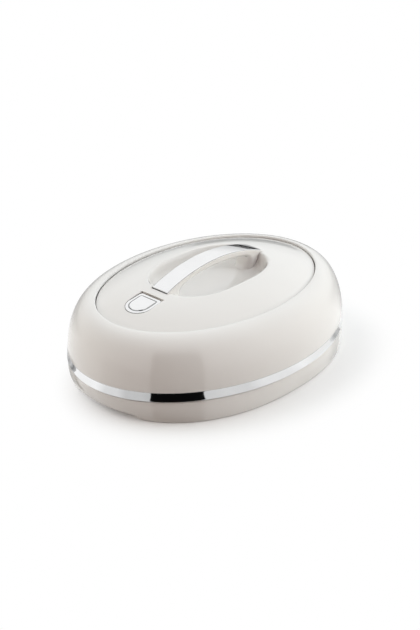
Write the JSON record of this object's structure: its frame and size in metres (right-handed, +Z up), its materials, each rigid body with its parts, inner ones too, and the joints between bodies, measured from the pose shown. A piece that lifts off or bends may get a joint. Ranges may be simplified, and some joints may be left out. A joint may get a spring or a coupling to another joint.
{
  "type": "insulated oval casserole",
  "caption": "Low oval insulated serving casserole: shallow base with a steel bowl under a tall lift-off domed lid, with a bow handle over a scooped hand pocket.",
  "frame": {"origin": "on the surface it stands on, under the middle of the base", "axes": "+X along the long axis, away from the badge end; +Y across; +Z up, the way the lid lifts"},
  "size_m": [0.3018, 0.2286, 0.1009],
  "materials": {
    "moulded_white": "gloss",
    "liner_white": "satin",
    "chrome_trim": "polished",
    "bowl_steel": "satin",
    "foam": "matte",
    "screw_steel": "satin",
    "plug_grey": "matte"
  },
  "bodies": {
    "base": {"base_shell": "moulded_white", "base_foam": "foam", "bowl_liner": "bowl_steel", "rim_collar": "moulded_white", "base_fill_plug": "plug_grey"},
    "lid": {"lid_shell": "moulded_white", "lid_band": "chrome_trim", "top_panel": "moulded_white", "handle_bow": "moulded_white", "handle_trim": "chrome_trim", "badge_plate": "chrome_trim", "lid_liner": "liner_white", "lid_foam": "foam", "handle_screws": "screw_steel", "lid_fill_plug": "plug_grey"}
  },
  "joints": [
    {"name": "lid_lift", "type": "slide", "parent": "base", "child": "lid", "axis": [0, 0, 1], "range_m": [0, 0.12]}
  ]
}
